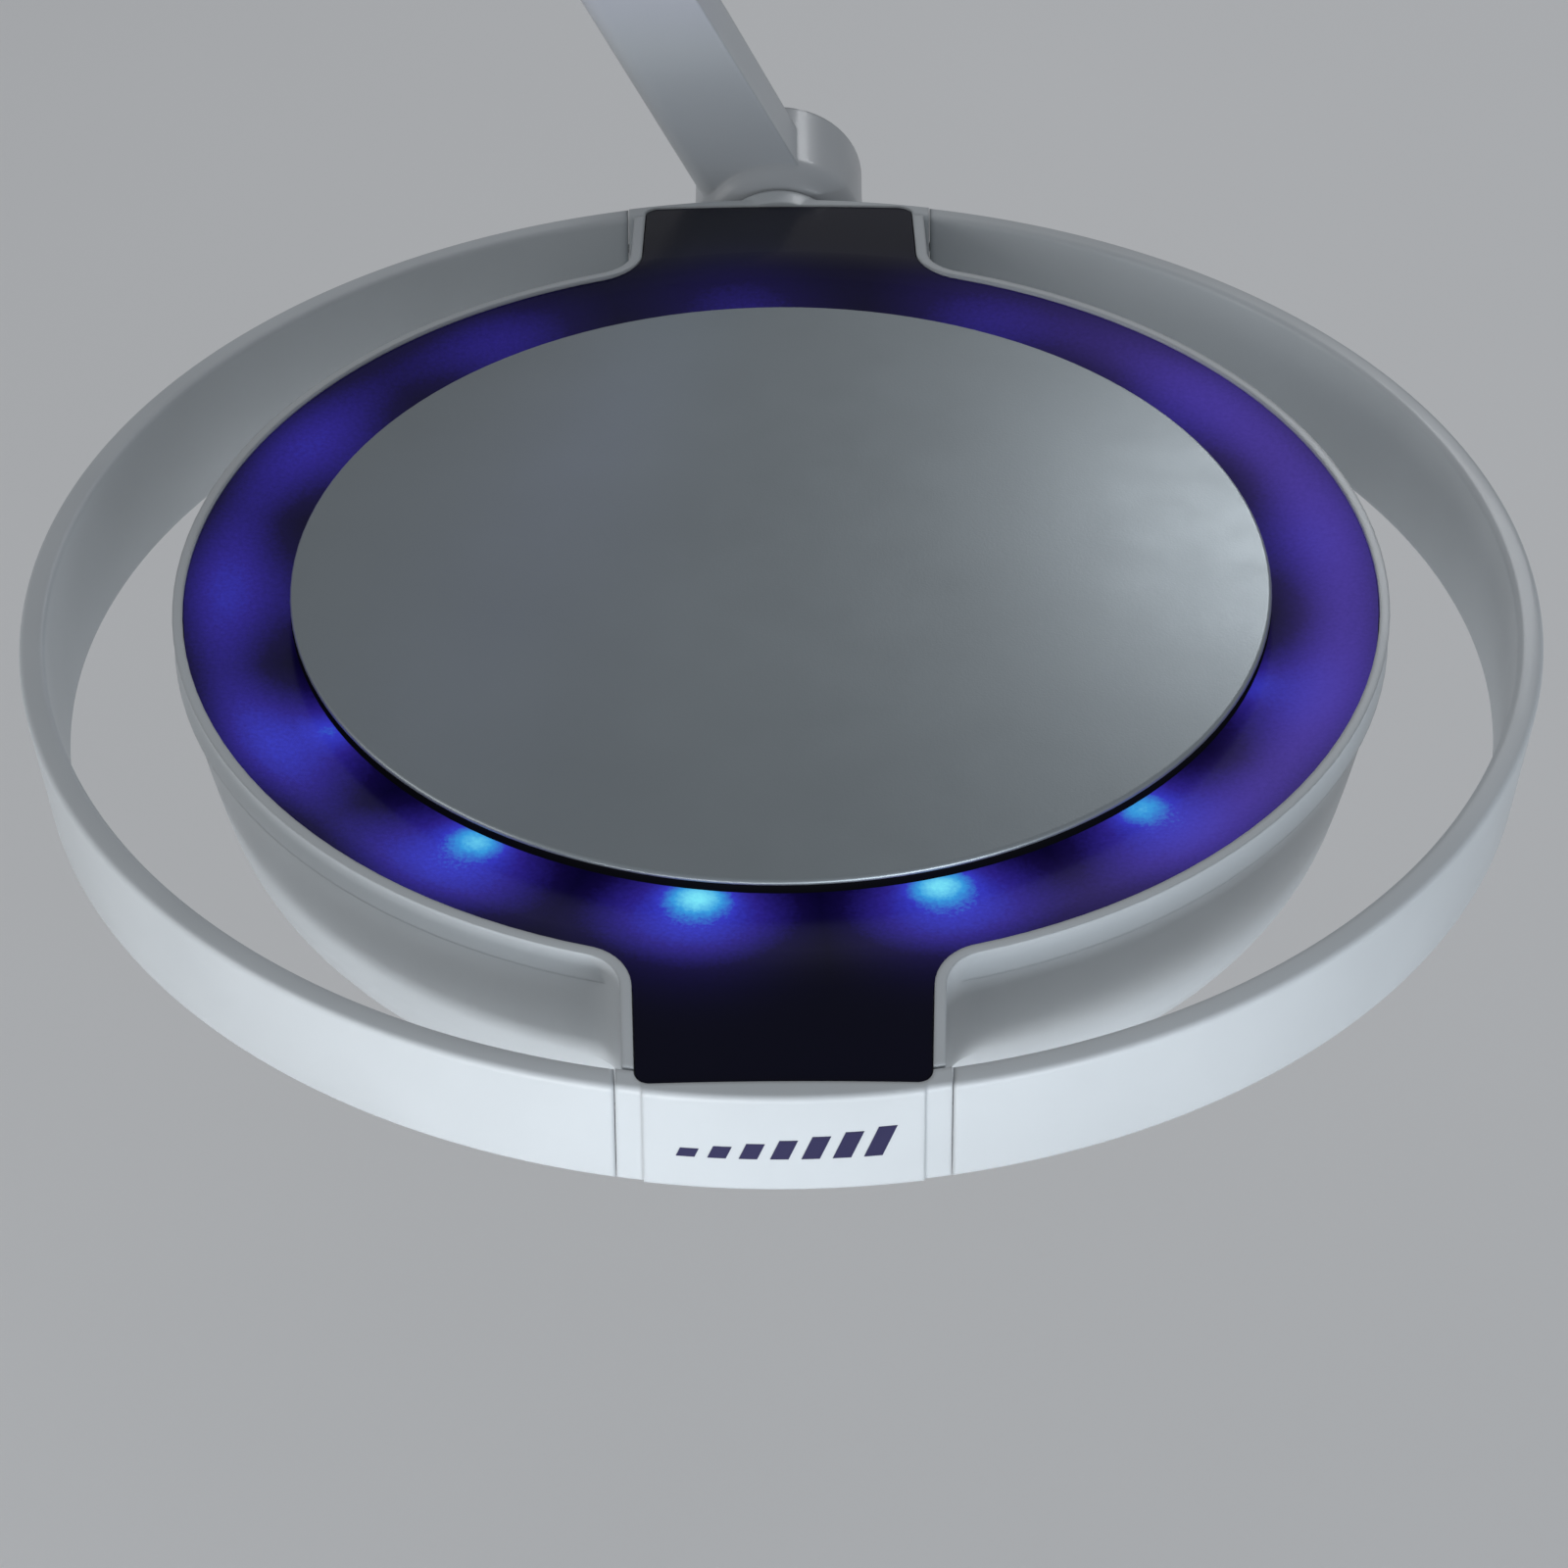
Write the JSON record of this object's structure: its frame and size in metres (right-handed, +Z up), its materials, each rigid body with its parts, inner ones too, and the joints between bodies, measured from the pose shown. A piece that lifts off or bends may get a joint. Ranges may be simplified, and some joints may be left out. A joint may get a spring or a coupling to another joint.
{
  "type": "dental operating light",
  "caption": "Round dental operating light head with grip ring and lit halo, on a swivelling, tilting suspension arm with a plug-in spigot.",
  "frame": {"origin": "middle of the plain bearing length of the spigot that plugs into the room's arm", "axes": "+Z up along the spigot, out of the light; +Y towards the rear, from the head's front neck to the knuckle; +X to the head's right seen from the front"},
  "size_m": [0.3995, 0.4478, 0.4661],
  "materials": {
    "shell_white": "satin, fine-textured light grey coating",
    "dome_satin": "satin silver-grey moulding",
    "tinted_window": "polished deep blue tinted acrylic",
    "rubber_black": "matt black seal",
    "deck_black": "matt black moulding",
    "board_green": "solder-masked circuit board",
    "board_white": "white solder-masked aluminium board",
    "led_package": "ceramic LED package",
    "halo_led": "blue-white LED package",
    "clear_optic": "clear moulded optic",
    "front_glass": "clear hardened pane",
    "holder_grey": "dark grey moulding",
    "aluminium": "bead-blasted aluminium",
    "bezel": "satin anodised trim",
    "screw_steel": "zinc-plated steel",
    "shaft_steel": "ground steel",
    "spigot_steel": "hard-chromed steel",
    "bronze": "sintered bronze",
    "friction_disc": "fibre friction material",
    "cap_grey": "light grey cap",
    "component_dark": "electronic component bodies",
    "arm_paint": "satin grey coating"
  },
  "bodies": {
    "mount": {"spigot": "spigot_steel", "stop_pin": "shaft_steel", "swivel_disc": "friction_disc", "spigot_washer": "screw_steel", "spigot_nut": "screw_steel"},
    "yoke": {"yoke": "arm_paint", "swivel_upper_bush": "bronze", "swivel_lower_bush": "bronze", "hinge_pin": "shaft_steel", "hinge_washer": "screw_steel", "hinge_nut": "screw_steel", "hinge_front_cap": "cap_grey", "hinge_rear_cap": "cap_grey"},
    "arm": {"arm_casting": "arm_paint", "arm_cover": "arm_paint", "cover_screws": "screw_steel", "knuckle_front_bush": "bronze", "knuckle_rear_bush": "bronze", "knuckle_cap": "cap_grey", "tilt_bushes": "bronze", "friction_discs": "friction_disc"},
    "head": {"head_housing": "shell_white", "halo_window": "tinted_window", "window_gasket": "rubber_black", "dome_cover": "dome_satin", "halo_deck": "deck_black", "halo_board": "board_white", "halo_leds": "halo_led", "deck_posts": "aluminium", "deck_screws": "screw_steel", "dome_screws": "screw_steel", "handle_right": "shell_white", "handle_left": "shell_white", "handle_dowels": "screw_steel", "front_band": "shell_white", "rear_band": "shell_white", "band_screws": "screw_steel", "touch_board": "board_green", "glass_gasket": "rubber_black", "front_glass": "front_glass", "front_bezel": "bezel", "bezel_screws": "screw_steel", "heat_sink": "aluminium", "sink_posts": "aluminium", "sink_screws": "screw_steel", "main_led_board": "board_white", "led_emitters": "led_package", "collimator_lenses": "clear_optic", "lens_holder": "holder_grey", "board_standoffs": "aluminium", "driver_board": "board_green", "driver_screws": "screw_steel", "driver_components": "component_dark", "neck_bracket": "aluminium", "bracket_screws": "screw_steel", "grub_screws": "screw_steel", "roll_shaft": "shaft_steel", "thrust_washer": "friction_disc", "disc_springs": "screw_steel", "shaft_nut": "screw_steel"}
  },
  "joints": [
    {"name": "swivel", "type": "hinge", "parent": "mount", "child": "yoke", "pos_m": [0, 0, -0.0236], "axis": [0, 0, 1], "range_deg": [-150, 150]},
    {"name": "arm_tilt", "type": "hinge", "parent": "yoke", "child": "arm", "pos_m": [0, 0, -0.1036], "axis": [0, 1, 0], "range_deg": [-43.7, 96.3]},
    {"name": "head_roll", "type": "hinge", "parent": "arm", "child": "head", "pos_m": [0.14528, 0, -0.38872], "axis": [0, 1, 0], "range_deg": [-80, 80]}
  ]
}
